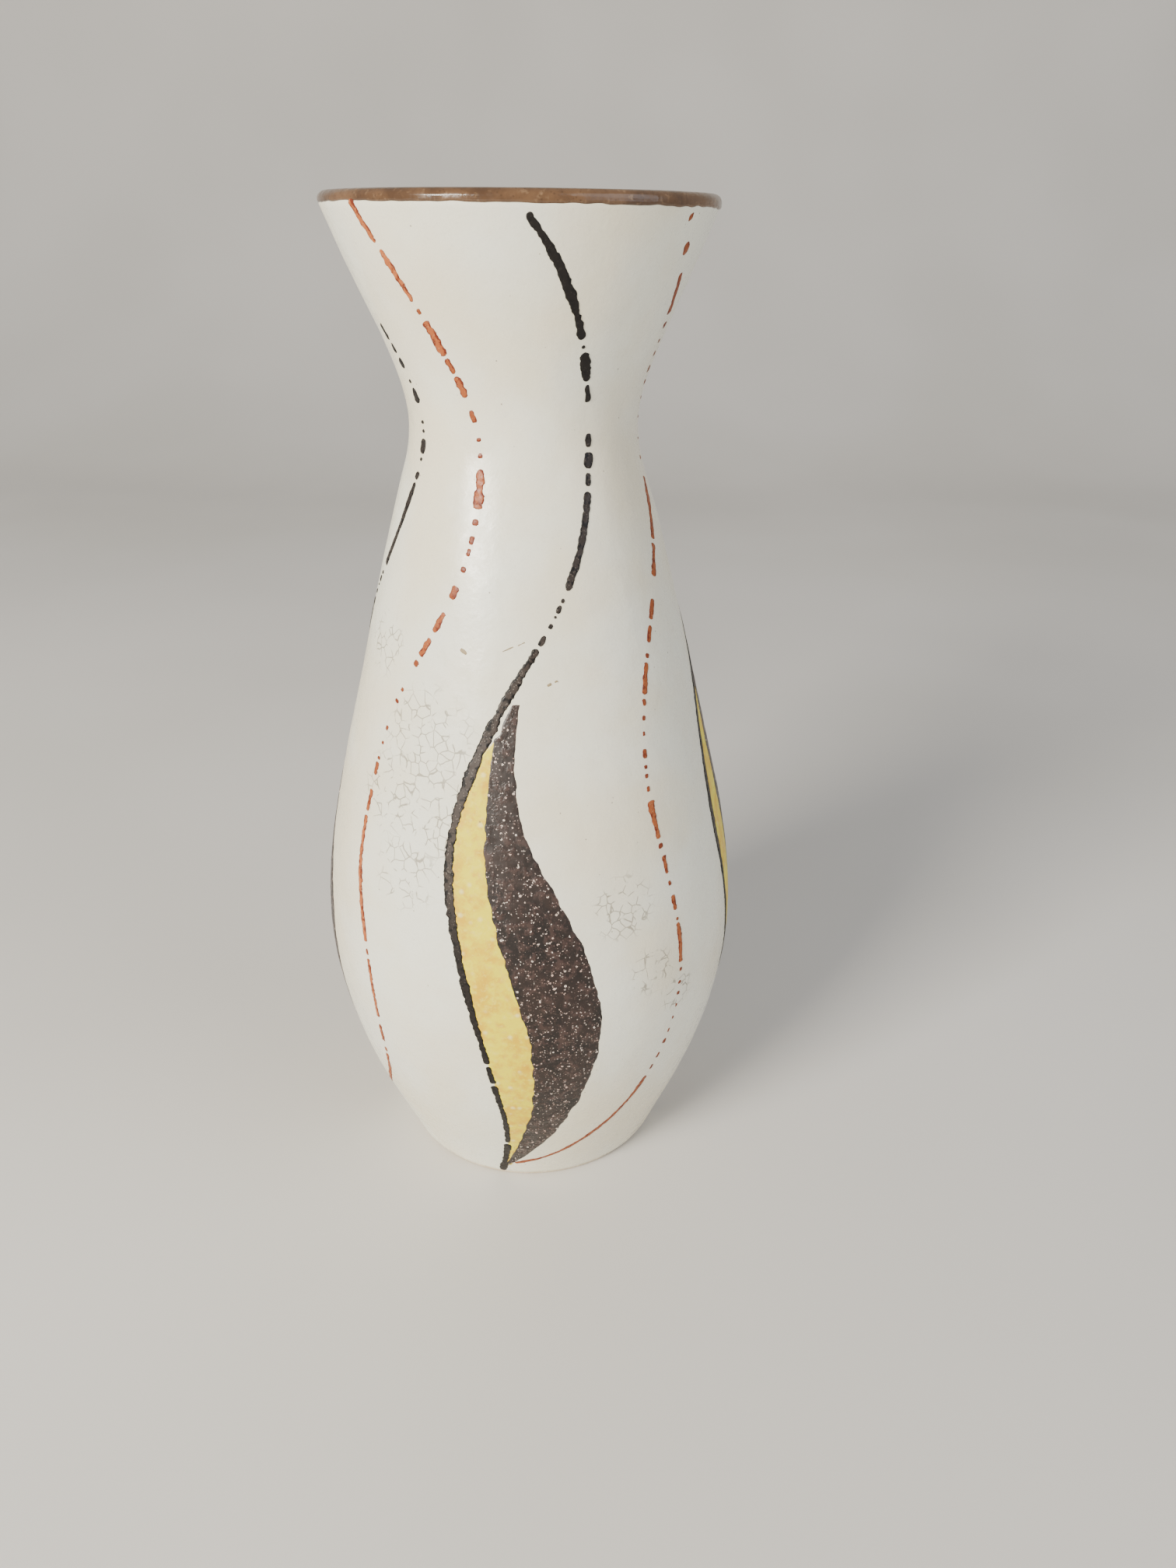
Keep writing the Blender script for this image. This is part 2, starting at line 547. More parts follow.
# %% The coat's tree
coat_tree, given, result = new_tree("Dipped coat", {
    "Geometry": "Geometry", "Ruler": "Object", "Material": "Material", "Around": "Int", "Rows": "Int",
    "Low edge": "Float", "High edge": "Float", "Tuck": "Float"})
tube = add(coat_tree, "GeometryNodeMeshCylinder", {
    "Vertices": given["Around"], "Side Segments": given["Rows"], "Radius": 1.0, "Depth": 1.0},
    fill_type="NONE").outputs["Mesh"]
spot = add(coat_tree, "ShaderNodeSeparateXYZ", {
    0: add(coat_tree, "GeometryNodeInputPosition").outputs[0]}).outputs
height = add(coat_tree, "ShaderNodeMapRange", {
    0: spot[2], 1: -0.5, 2: 0.5, 3: given["Low edge"], 4: given["High edge"]}).outputs[0]
spread = add(coat_tree, "GeometryNodeSetPosition", {
    0: tube, "Position": add(coat_tree, "ShaderNodeCombineXYZ", {
        0: spot[0], 1: spot[1], 2: height}).outputs[0]})
from_low = add(coat_tree, "ShaderNodeMath", {0: spot[2], 1: given["Low edge"]},
               operation="SUBTRACT").outputs[0]
from_high = add(coat_tree, "ShaderNodeMath", {0: given["High edge"], 1: spot[2]},
                operation="SUBTRACT").outputs[0]
from_edge = add(coat_tree, "ShaderNodeMath", {0: from_low, 1: from_high}, operation="MINIMUM").outputs[0]
tucked = add(coat_tree, "ShaderNodeMapRange", {
    0: from_edge, 1: 0.0, 2: 0.9 * mm, 3: given["Tuck"], 4: 0.0}, interpolation_type="SMOOTHSTEP")
laid = add(coat_tree, "GeometryNodeGroup", {
    "Geometry": spread.outputs[0], "Ruler": given["Ruler"], "Lift": tucked.outputs[0]}, node_tree=lay)
end_tree(coat_tree, laid.outputs[0], given["Material"], result)

# %% The coat
coat = grown("white_glaze", bpy.data.meshes.new("start"), coat_tree, {
    "Ruler": ruler, "Material": white_glaze, "Around": 360, "Rows": 270,
    "Low edge": coat_low - 0.6 * mm, "High edge": coat_high + 0.8 * mm, "Tuck": -skin})
facing_out(coat.data)
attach(coat, "root")
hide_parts("white_glaze_coat")

# %% [markdown]
# ## The lip and the lining
#
# Both are turned shapes: an outline carried round the axis. The lip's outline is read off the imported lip,
# as the farthest point in each direction from the middle of the rim. Its lower edge is wavy, because the
# glaze ran. A Screw modifier could spin an outline too, but it can't make one edge wavy, so a small function
# places the points. The lining follows the outside at a constant wall thickness and ends in a rounded floor.
# Its spiral rings are the finger marks of the throwing, and a small tree presses them in.

# %% A turned shape
def turned(name, outline, around, wave=None):
    """A mesh made by carrying (radius, height) points round the axis. wave moves a point up at an angle."""
    turns = np.linspace(0, 2 * math.pi, around, endpoint=False)
    spots, count = [], len(outline)
    for turn in turns:
        for k, (r, z) in enumerate(outline):
            rise = wave(turn, k) if wave else 0.0
            spots.append((r * math.sin(turn), -r * math.cos(turn), z + rise))
    faces = [(j * count + k, (j + 1) % around * count + k, (j + 1) % around * count + k + 1,
              j * count + k + 1) for j in range(around) for k in range(count - 1)]
    mesh = bpy.data.meshes.new(name)
    mesh.from_pydata(spots, [], faces)
    # A point on the axis was made once for each angle, so the copies are merged and the pole closes.
    shape = bmesh.new()
    shape.from_mesh(mesh)
    bmesh.ops.remove_doubles(shape, verts=shape.verts, dist=0.001 * mm)
    shape.to_mesh(mesh)
    shape.free()
    mesh.shade_smooth()
    return mesh


# %% The lip's outline
lip_points = points_of("brown_lip_glaze")
lip_radius = np.hypot(lip_points[:, 0], lip_points[:, 1])
rim_middle = (lip_radius.min() + lip_radius.max()) / 2
bearing = np.degrees(np.arctan2(lip_points[:, 2] - coat_high, lip_radius - rim_middle))
reach = np.hypot(lip_points[:, 2] - coat_high, lip_radius - rim_middle)
lip_outline, sector = [], 8
for start in range(2, 178, sector):
    near = np.flatnonzero((bearing >= start) & (bearing < start + sector))
    if len(near):
        far = near[np.argmax(reach[near])]
        swollen = 0.06 * mm * math.cos(math.radians(start))
        lip_outline.append((lip_radius[far] + swollen, lip_points[far, 2]))
skirt_outline = [(float(side([coat_high + up * mm])[0]) + out * mm, coat_high + up * mm)
                 for up, out in ((-0.35, -0.3), (-0.25, 0.04), (-0.05, 0.14), (0.15, 0.16))]
last_radius = lip_outline[-1][0]
inner_outline = [(last_radius - 0.05 * mm, coat_high), (last_radius - 0.2 * mm, coat_high - 1.2 * mm)]
print("lip outline", len(lip_outline), "points, rim", round(rim / mm, 2))

# %% The lip
# How much of the wave each point of the outline takes, from the lower edge up.
wave_share = [1.0, 1.0, 1.0, 0.95, 0.8, 0.55, 0.3, 0.1]


def lip_wave(turn, k):
    """How far the lower edge of the lip glaze rises at an angle. The glaze ran lower at the right."""
    if k >= len(wave_share):
        return 0.0
    wander = noise.noise(Vector((3 * math.cos(turn), 3 * math.sin(turn), 3.0)))
    drip = noise.noise(Vector((14 * math.cos(turn), 14 * math.sin(turn), 8.0)))
    return (0.15 - 0.3 * math.sin(turn) + 0.3 * wander + 0.22 * drip) * mm * wave_share[k]


lip = show("lip_glaze", turned("lip_glaze", skirt_outline + lip_outline + inner_outline, 320, lip_wave))
lip.data.materials.append(lip_brown)
facing_out(lip.data)
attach(lip, "root")
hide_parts("brown_lip_glaze")
print("lip", len(lip.data.polygons), "faces")

# %% The lining's outline
# The wall is measured at the waist, where inside and outside are both narrowest.
above_belly = 150 * mm
lining_points = points_of("inner_glaze")
lining_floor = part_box("inner_glaze")[0].z + 0.4 * mm
lining_waist = lining_points[lining_points[:, 2] > above_belly]
lining_narrow = np.hypot(lining_waist[:, 0], lining_waist[:, 1]).min()
wall = glazed_rows[:, 1][glazed_rows[:, 0] > above_belly].min() - lining_narrow
inside_rows = moved_out(glazed_rows, -wall)
corner = 13 * mm
climb = np.linspace(lining_floor + corner, coat_high - 0.3 * mm, 150)
inside_radius = through(inside_rows[:, 0], inside_rows[:, 1], climb)
# The wall leans in towards the floor, so the corner starts inside the wall's lowest radius.
foot_corner = inside_radius[0] - 0.42 * corner
bend = []
for share in np.linspace(0, 1, 14, endpoint=False):
    r = ((1 - share)**2 * (foot_corner - corner) + 2 * share * (1 - share) * foot_corner
         + share**2 * inside_radius[0])
    z = lining_floor + share**2 * corner
    bend.append((r, z))
floor_outline = [(foot_corner - corner) * share for share in np.linspace(0, 1, 18, endpoint=False)]
lining_outline = [(r, lining_floor) for r in floor_outline] + bend + list(zip(inside_radius, climb))
print("wall with both glazes", round(wall / mm, 2), "mm, floor at", round(lining_floor / mm, 2), "mm")

# %% The throwing rings
ring_tree, given, result = new_tree("Throwing rings", {
    "Geometry": "Geometry", "Material": "Material", "Pitch": "Float", "Depth": "Float"})
spot = add(ring_tree, "ShaderNodeSeparateXYZ", {
    0: add(ring_tree, "GeometryNodeInputPosition").outputs[0]}).outputs
around_axis = add(ring_tree, "ShaderNodeMath", {0: spot[1], 1: spot[0]}, operation="ARCTAN2").outputs[0]
climbed = add(ring_tree, "ShaderNodeMath", {0: spot[2], 1: given["Pitch"]}, operation="DIVIDE").outputs[0]
climbed = add(ring_tree, "ShaderNodeMath", {0: climbed, 1: 2 * math.pi}, operation="MULTIPLY").outputs[0]
wave = add(ring_tree, "ShaderNodeMath", {
    0: add(ring_tree, "ShaderNodeMath", {0: climbed, 1: around_axis}, operation="ADD").outputs[0]},
    operation="SINE").outputs[0]
strength = noise_between(ring_tree, add(ring_tree, "GeometryNodeInputPosition").outputs[0], 25 * mm,
                         0.3, 1.0)
pressed = add(ring_tree, "ShaderNodeMath", {0: wave, 1: strength}, operation="MULTIPLY").outputs[0]
pressed = add(ring_tree, "ShaderNodeMath", {0: pressed, 1: given["Depth"]}, operation="MULTIPLY").outputs[0]
rings = add(ring_tree, "GeometryNodeSetPosition", {
    0: given["Geometry"], "Offset": add(ring_tree, "ShaderNodeVectorMath", {
        0: add(ring_tree, "GeometryNodeInputNormal").outputs[0], "Scale": pressed},
        operation="SCALE").outputs[0]})
end_tree(ring_tree, rings.outputs[0], given["Material"], result)

# %% The lining
# The outline runs down from the mouth, so that the faces look into the vase.
lining = grown("lining_glaze", turned("lining_start", lining_outline[::-1], 220), ring_tree, {
    "Material": lining_brown, "Pitch": 8 * mm, "Depth": 0.12 * mm})
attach(lining, "root")
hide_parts("inner_glaze")

# %% [markdown]
# ## Where the paint goes
#
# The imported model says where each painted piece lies. Cutting a piece's triangles at a height gives the
# angles of its left and right edges there. All angles run from the front towards +X, and they are turned
# to lie near the piece's own middle, so that no piece is split where the circle closes.

# %% Reading the painted pieces
def edges_at(node, heights):
    """Left and right edge of a node, as angles in radians, at each height."""
    mesh = nodes[node].data
    corners = points_of(node)[np.array([list(face.vertices) for face in mesh.polygons])]
    middle = corners.reshape(-1, 3).mean(0)
    facing = math.atan2(middle[0], -middle[1])
    lefts, rights = [], []
    for height in heights:
        found = []
        for a, b in ((0, 1), (1, 2), (2, 0)):
            first, second = corners[:, a], corners[:, b]
            crosses = (first[:, 2] - height) * (second[:, 2] - height) < 0
            first, second = first[crosses], second[crosses]
            share = ((height - first[:, 2]) / (second[:, 2] - first[:, 2]))[:, None]
            found.append(first + (second - first) * share)
        found = np.concatenate(found)
        angles = np.arctan2(found[:, 0], -found[:, 1]) - facing
        angles = (angles + math.pi) % (2 * math.pi) - math.pi + facing
        lefts.append(angles.min())
        rights.append(angles.max())
    return np.array(lefts), np.array(rights)


leaf_left, leaf_right = edges_at("brown_leaf_1", [70 * mm])
print("first leaf at 70 mm, from", *np.degrees(leaf_left).round(1), "to",
      *np.degrees(leaf_right).round(1), "degrees")


# %% [markdown]
# ## Brushed lines
#
# A line painted while the pot turns breaks into dashes where the brush runs dry. The coat's shader could
# draw them, but brushed oxide stands a little proud and catches the light, so each dash is real geometry,
# and it starts as a row of points along the path. The tree sweeps a flat profile along it, gives it rounded
# ends and rough edges, and lays it on the side. The stroke is highest in its middle and its edges dip under
# the white glaze, so the two fuse without a gap.

# %% Sweeping the brush along the path
brush, given, result = new_tree("Brushed stroke", {
    "Geometry": "Geometry", "Ruler": "Object", "Material": "Material", "Lift": "Float",
    "Roughness": "Float"})
bristle_count = 9
here = add(brush, "GeometryNodeInputPosition").outputs[0]
line = add(brush, "GeometryNodeStoreNamedAttribute", {
    0: add(brush, "GeometryNodeMeshToCurve", {0: given["Geometry"]}).outputs[0], 2: "at", 3: here},
    data_type="FLOAT_VECTOR")
bristles = add(brush, "GeometryNodeMeshToCurve", {0: add(brush, "GeometryNodeMeshLine", {
    "Count": bristle_count, "Start Location": (-1, 0, 0),
    "Offset": (2 / (bristle_count - 1), 0, 0)}).outputs[0]})
bristles = add(brush, "GeometryNodeStoreNamedAttribute", {
    0: bristles.outputs[0], 2: "across", 3: add(brush, "ShaderNodeSeparateXYZ", {0: here}).outputs[0]},
    data_type="FLOAT")
swept = add(brush, "GeometryNodeCurveToMesh", {0: line.outputs[0], 1: bristles.outputs[0]})
at, way, across, half, ink = [
    add(brush, "GeometryNodeInputNamedAttribute", {"Name": label}, data_type=kind).outputs[0]
    for label, kind in (("at", "FLOAT_VECTOR"), ("way", "FLOAT_VECTOR"), ("across", "FLOAT"),
                        ("half", "FLOAT"), ("ink", "FLOAT"))]
print("bristles", bristle_count, "across the brush")

# %% Fraying it, raising it and laying it on the side
# Each side of the stroke reads its own noise, so the two edges fray apart from each other.
each_side = add(brush, "ShaderNodeVectorMath", {0: at, 1: add(brush, "ShaderNodeCombineXYZ", {
    0: add(brush, "ShaderNodeMath", {0: across}, operation="SIGN").outputs[0]}).outputs[0]}).outputs[0]
fraying = noise_between(brush, each_side, 1.1 * mm, -1.0, 1.0, detail=3.0)
swelling = noise_between(brush, at, 6 * mm, -0.8, 0.8, detail=1.0)
width = add(brush, "ShaderNodeMath", {0: fraying, 1: swelling}).outputs[0]
width = add(brush, "ShaderNodeMath", {0: width, 1: given["Roughness"], 2: 1.0},
            operation="MULTIPLY_ADD").outputs[0]
for factor in (half, across):
    width = add(brush, "ShaderNodeMath", {0: width, 1: factor}, operation="MULTIPLY").outputs[0]
spread = add(brush, "ShaderNodeVectorMath", {
    0: add(brush, "ShaderNodeVectorMath", {0: way, "Scale": width}, operation="SCALE").outputs[0],
    1: at}).outputs[0]
flat = add(brush, "GeometryNodeSetPosition", {0: swept.outputs[0], "Position": spread})
squared = add(brush, "ShaderNodeMath", {0: across, 1: across}, operation="MULTIPLY").outputs[0]
body = add(brush, "ShaderNodeMapRange", {
    0: squared, 1: 0.55, 2: 1.0, 3: given["Lift"], 4: -0.06 * mm}, interpolation_type="SMOOTHSTEP")
ended = add(brush, "ShaderNodeMapRange", {0: ink, 1: 0.0, 2: 0.5, 3: -0.06 * mm, 4: body.outputs[0]})
laid = add(brush, "GeometryNodeGroup", {
    "Geometry": flat.outputs[0], "Ruler": given["Ruler"], "Lift": ended.outputs[0]}, node_tree=lay)
end_tree(brush, laid.outputs[0], given["Material"], result)

# %% [markdown]
# ## Writing the dashes down
#
# Each dash is (top, bottom, width, paleness) in millimetres, with paleness 0 for full colour and 1 for a
# washed-out middle. The four lines that show from the front are set by hand. The other four use the same
# lists with each end moved a little, because one hand painted them all in the same way.

# %% Dashes of the black line
black_low = [
    (190, 169.4, 1.9, 1), (167.9, 166.9, 1.0, 1), (166.5, 164.7, 1.4, 1), (164.3, 163.7, 0.7, 1),
    (162.6, 161.5, 1.1, 1), (160.1, 157.8, 1.5, 1), (157.3, 52.4, 2.3, 1), (51.9, 45.4, 2.1, 1),
    (44.9, 18.2, 2.1, 1), (17.7, 1.2, 2.4, 1),
]
black_dashes = [
    (246, 222, 2.0, 1), (221, 220.2, 1.0, 1), (219.6, 213.2, 2.3, 1), (212.7, 208.8, 1.5, 1),
    (202.2, 199, 1.8, 1), (198.2, 194.5, 2.2, 1), (193.8, 190.9, 1.4, 1), *black_low,
]
black_left_dashes = [
    (224, 220.5, 1.5, 1), (220, 217.8, 1.3, 1), (217, 214.6, 1.6, 1), (212.5, 211.5, 1.1, 1),
    (210.8, 207.2, 2.3, 1), (203.8, 202.8, 1.2, 1), (201.8, 200.9, 0.9, 1), (199.8, 196.2, 2.2, 1),
    (195.6, 194.6, 1.2, 1), (192.4, 190.4, 1.8, 1), *black_low,
]
# (height, width, paleness) of the black line: it starts thin, turns grey beside the leaf and dark below.
black_tone = np.array([
    (0, 0.9, 0.3), (20, 0.85, 0.15), (60, 0.85, 0.15), (88, 1.0, 0.3), (105, 1.2, 1.0), (135, 1.1, 1.0),
    (165, 0.9, 0.8), (185, 0.95, 0.5), (200, 1.0, 0.4), (215, 1.0, 0.1), (238, 1.0, 0.1), (247, 0.75, 0.1),
])
print("black dashes", len(black_dashes), "in front and", len(black_left_dashes), "at the left")

# %% Dashes of the rust line
rust_left_dashes = [
    (248, 240, 1.2, 0.8), (239, 229, 1.3, 0.9), (227.8, 226.6, 1.0, 0.4), (225.5, 218.3, 1.6, 0.7),
    (218, 214.7, 1.3, 0.5), (214.4, 209.7, 1.5, 0.6), (207.3, 204.5, 1.2, 0.4), (201.5, 200.5, 0.8, 0.2),
    (198.3, 197, 1.2, 0.3), (195, 186.4, 1.5, 0.6), (184.6, 183, 1.2, 0.2), (181, 179, 1.2, 0.3),
    (178.3, 176.5, 1.1, 0.3), (174.4, 173, 1.0, 0.2), (170, 167, 1.2, 0.4), (164, 159, 1.3, 0.6),
    (157.7, 153, 1.2, 0.6), (152, 150.5, 1.0, 0.3), (145, 144, 0.9, 0.3), (142, 141, 0.9, 0.3),
    (135, 133.7, 0.9, 0.3), (131, 130, 0.9, 0.2), (127, 126, 0.9, 0.2), (125.5, 122, 1.2, 0.5),
    (118.5, 112.6, 1.3, 0.7), (111.8, 79, 1.4, 0.9), (77.4, 75.5, 1.1, 0.5), (74.7, 56.4, 1.4, 0.9),
    (54, 47.5, 1.2, 0.7), (45, 43, 1.1, 0.5), (42.4, 5, 1.2, 0.7),
]
rust_right_dashes = [
    (246, 244.7, 1.2, 0.4), (240.7, 238.2, 1.5, 0.4), (234.7, 226, 1.2, 0.3), (224.5, 223, 1.1, 0),
    (220.8, 219.8, 1.0, 0), (218.2, 216.8, 1.1, 0), (215, 213.3, 1.2, 0), (211.8, 210.5, 1.0, 0),
    (208, 207.2, 0.7, 0.2), (203.5, 202.8, 0.7, 0.2), (198.6, 197.9, 0.7, 0.2), (194.5, 193.4, 0.8, 0.3),
    (190, 176.2, 1.4, 0.5), (175.6, 168.4, 1.6, 0.6), (164, 159.4, 1.2, 0.5), (158.4, 154.6, 1.2, 0.5),
    (152.5, 151.3, 0.9, 0.2), (150.6, 143.4, 1.2, 0.6), (142.7, 141, 1.0, 0.4), (139, 137.7, 0.8, 0.3),
    (135.4, 134.2, 0.9, 0.2), (131.4, 129, 1.0, 0.4), (127.6, 126.5, 0.8, 0.3), (125.5, 124.3, 0.8, 0.3),
    (122.5, 121, 0.9, 0.4), (119, 109, 1.3, 0.7), (108, 106.5, 1.0, 0.4), (104.7, 99.6, 1.2, 0.6),
    (97.8, 96.3, 0.9, 0.4), (93.8, 89.3, 1.2, 0.6), (87.4, 86.4, 0.8, 0.3), (86, 74, 1.3, 0.7),
    (72.6, 71.3, 1.0, 0.2), (68.6, 67.4, 1.0, 0.2), (65.3, 64, 1.0, 0.2), (61.5, 60.3, 0.9, 0.2),
    (57.6, 56.4, 0.9, 0.2), (53.7, 52.2, 0.9, 0.2), (50.4, 48.6, 0.9, 0.2), (45.9, 43.9, 0.9, 0.2),
    (42, 40.2, 0.9, 0.2), (38.3, 5, 1.05, 0.5),
]

# (height, width, paleness) of the rust line: it is drawn with a fuller brush near the mouth.
rust_tone = np.array([(0, 1.0, 1.0), (50, 1.15, 1.0), (120, 1.3, 1.0), (250, 1.45, 1.0)])
print("rust dashes", len(rust_left_dashes), "at the left and", len(rust_right_dashes), "at the right")


# %% The start of a stroke
def moved_ends(dashes, seed, reach=0.7):
    """The same dashes with every end moved at random, as another pass of the same hand."""
    chance = random.Random(seed)
    moved_list = []
    for top, bottom, width_here, paleness in dashes:
        slip = min(reach, 0.3 * (top - bottom))
        moved_list.append((top - chance.uniform(0, slip), bottom + chance.uniform(0, slip),
                           width_here * chance.uniform(0.85, 1.15), paleness))
    return moved_list


def stroke_start(name, centre, dashes, tone=None, spacing=0.35 * mm):
    """The rows of points that the brush tree starts from. centre gives the path's angle at a height."""
    spots, edges, values = [], [], {"half": [], "ink": [], "pale": [], "way": []}
    for top, bottom, width_here, paleness in dashes:
        count = max(7, int((top - bottom) * mm / spacing))
        # In a short dash the points crowd towards both ends, so that the ends can be round.
        along = (1 - np.cos(np.linspace(0, math.pi, count))) / 2 if count < 12 else np.linspace(0, 1, count)
        heights = (bottom + (top - bottom) * along) * mm
        turns = np.array([centre(z) for z in heights])
        radii = side(heights)
        sideways = np.gradient(turns, heights) * radii
        for i, (z, turn, r, lean) in enumerate(zip(heights, turns, radii, sideways)):
            long = math.hypot(lean, 1)
            to_end = min(z - bottom * mm, top * mm - z) * long
            ink = min(1.0, to_end / (0.5 * width_here * mm))
            way = np.array([math.cos(turn), math.sin(turn), -lean]) / long
            wide, faded = (1.0, 1.0) if tone is None else [
                np.interp(z / mm, tone[:, 0], tone[:, column]) for column in (1, 2)]
            spots.append((r * math.sin(turn), -r * math.cos(turn), z))
            values["half"].append(0.5 * width_here * mm * wide * math.sqrt(1 - (1 - ink)**2) + 0.01 * mm)
            values["ink"].append(ink)
            values["pale"].append(paleness * faded)
            values["way"].extend(way)
            if i:
                edges.append((len(spots) - 2, len(spots) - 1))
    mesh = bpy.data.meshes.new(name)
    mesh.from_pydata(spots, edges, [])
    for label, numbers in values.items():
        kind, field = ("FLOAT_VECTOR", "vector") if label == "way" else ("FLOAT", "value")
        mesh.attributes.new(label, kind, "POINT").data.foreach_set(field, numbers)
    return mesh


def path_of(node):
    """The angle of a line's middle at any height, and the heights it runs between."""
    low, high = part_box(node)[0].z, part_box(node)[1].z
    heights = np.linspace(low + 0.3 * mm, high - 0.3 * mm, 160)
    lefts, rights = edges_at(node, heights)
    middles = (lefts + rights) / 2
    # Past its upper end the path runs on straight, up to the lip glaze.
    beyond_top = middles[-1] + (middles[-1] - middles[-9]) / (heights[-1] - heights[-9]) * 4 * mm
    heights, middles = np.append(heights, heights[-1] + 4 * mm), np.append(middles, beyond_top)
    return (lambda z: float(np.interp(z, heights, middles))), low, high + 2 * mm


# %% The eight lines
paint_thickness = 0.2 * mm
line_lists = {}
for n in motifs:
    black_list = black_left_dashes if n == 4 else black_dashes
    line_lists[f"black_line_{n}"] = black_list if n in (1, 4) else moved_ends(black_list, 40 + n)
    rust_list = rust_left_dashes if n in (1, 3) else rust_right_dashes
    line_lists[f"rust_line_{n}"] = rust_list if n in (1, 2) else moved_ends(rust_list, 60 + n)
for name, dashes in line_lists.items():
    centre, low, high = path_of(name)
    kept = [(min(top, high / mm), max(bottom, low / mm), w, p) for top, bottom, w, p in dashes
            if top * mm > low + mm and bottom * mm < high - mm]
    black = name.startswith("black")
    start = stroke_start(name, centre, kept, black_tone if black else rust_tone)
    stroke = grown(name.replace("line", "stroke"), start, brush, {
        "Ruler": ruler, "Material": black_oxide if black else rust_oxide,
        "Lift": (0.17 if black else 0.10) * mm, "Roughness": 0.32 if black else 0.42},
        thickness=paint_thickness)
    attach(stroke, "root")
    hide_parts(name)

# %% [markdown]
# ## Leaves
#
# A leaf field is a pool of glaze filled in with a loaded brush. A sheet cut out along the edges would lie
# dead flat, and a pool doesn't: it swells up from its edge. So it starts as a grid between its left and
# right edges, and each point carries its distance to the nearer edge. The tree makes the edge ragged, lets
# the pool swell up from it and sinks the very edge under the white glaze. The yellow field reaches a little
# under the brown one and under the black line, as it was painted first.

# %% The pool: a ragged edge and a swell
pool, given, result = new_tree("Pool of glaze", {
    "Geometry": "Geometry", "Ruler": "Object", "Material": "Material", "Lift": "Float",
    "Ragged": "Float", "Holes": "Material", "Holes on a square metre": "Float", "Seed": "Int"})
here = add(pool, "GeometryNodeInputPosition").outputs[0]
edge, broad, inwards = [
    add(pool, "GeometryNodeInputNamedAttribute", {"Name": label}, data_type=kind).outputs[0]
    for label, kind in (("edge", "FLOAT"), ("broad", "FLOAT"), ("inwards", "FLOAT_VECTOR"))]
near_edge = add(pool, "ShaderNodeMapRange", {0: edge, 1: 0.0, 2: 4 * mm, 3: 1.0, 4: 0.0}).outputs[0]
bites = noise_between(pool, here, 3.6 * mm, 0.0, 1.0, detail=3.0)
for factor in (near_edge, given["Ragged"], broad):
    bites = add(pool, "ShaderNodeMath", {0: bites, 1: factor}, operation="MULTIPLY").outputs[0]
ragged = add(pool, "GeometryNodeSetPosition", {
    0: given["Geometry"], "Offset": add(pool, "ShaderNodeVectorMath", {
        0: inwards, "Scale": bites}, operation="SCALE").outputs[0]})
swell = add(pool, "ShaderNodeMapRange", {
    0: edge, 1: 0.0, 2: 0.9 * mm, 3: -0.08 * mm, 4: given["Lift"]},
    interpolation_type="SMOOTHSTEP").outputs[0]
texture = noise_between(pool, here, 1.6 * mm, -0.03 * mm, 0.03 * mm)
swell = add(pool, "ShaderNodeMath", {0: swell, 1: texture}).outputs[0]
laid = add(pool, "GeometryNodeGroup", {
    "Geometry": ragged.outputs[0], "Ruler": given["Ruler"], "Lift": swell}, node_tree=lay)
smooth = add(pool, "GeometryNodeSetShadeSmooth", {0: laid.outputs[0]})
print("pool so far", len(pool.nodes), "nodes")

# %% The pool: pinholes
# They are small discs on the pool, away from its edge. Most are small, so the random size is cubed.
well_inside = add(pool, "FunctionNodeCompare", {0: edge, 1: 0.8 * mm},
                  data_type="FLOAT", operation="GREATER_THAN")
scattered = add(pool, "GeometryNodeDistributePointsOnFaces", {
    0: smooth.outputs[0], 1: well_inside.outputs[0], "Density": given["Holes on a square metre"],
    "Seed": given["Seed"]})
disc = add(pool, "GeometryNodeMeshCircle", {"Vertices": 9, "Radius": 1.0}, fill_type="TRIANGLE_FAN")
marked = add(pool, "GeometryNodeStoreNamedAttribute", {0: disc.outputs[0], 2: "pinhole", 3: 1.0},
             data_type="FLOAT", domain="FACE")
chance = add(pool, "FunctionNodeRandomValue", {2: 0.0, 3: 1.0, "Seed": given["Seed"]}, data_type="FLOAT")
cubed = add(pool, "ShaderNodeMath", {0: chance.outputs[1], 1: 3.0}, operation="POWER")
size = add(pool, "ShaderNodeMapRange", {0: cubed.outputs[0], 3: 0.11 * mm, 4: 0.36 * mm})
dots = add(pool, "GeometryNodeInstanceOnPoints", {
    0: scattered.outputs[0], 2: marked.outputs[0], 5: scattered.outputs[2], 6: size.outputs[0]})
raised = add(pool, "GeometryNodeTranslateInstances", {0: dots.outputs[0], 2: (0, 0, 0.03 * mm)})
joined = add(pool, "GeometryNodeJoinGeometry", {0: smooth.outputs[0]})
pool.links.new(raised.outputs[0], joined.inputs[0])
real = add(pool, "GeometryNodeRealizeInstances", {0: joined.outputs[0]})
glazed = add(pool, "GeometryNodeSetMaterial", {0: real.outputs[0], "Material": given["Material"]})
is_pinhole = add(pool, "GeometryNodeInputNamedAttribute", {"Name": "pinhole"}, data_type="FLOAT")
in_pinhole = add(pool, "FunctionNodeCompare", {0: is_pinhole.outputs[0], 1: 0.5},
                 data_type="FLOAT", operation="GREATER_THAN")
holed = add(pool, "GeometryNodeSetMaterial", {
    0: glazed.outputs[0], 1: in_pinhole.outputs[0], "Material": given["Holes"]})
pool.links.new(holed.outputs[0], result[0])
print(pool.name, len(pool.nodes), "nodes")


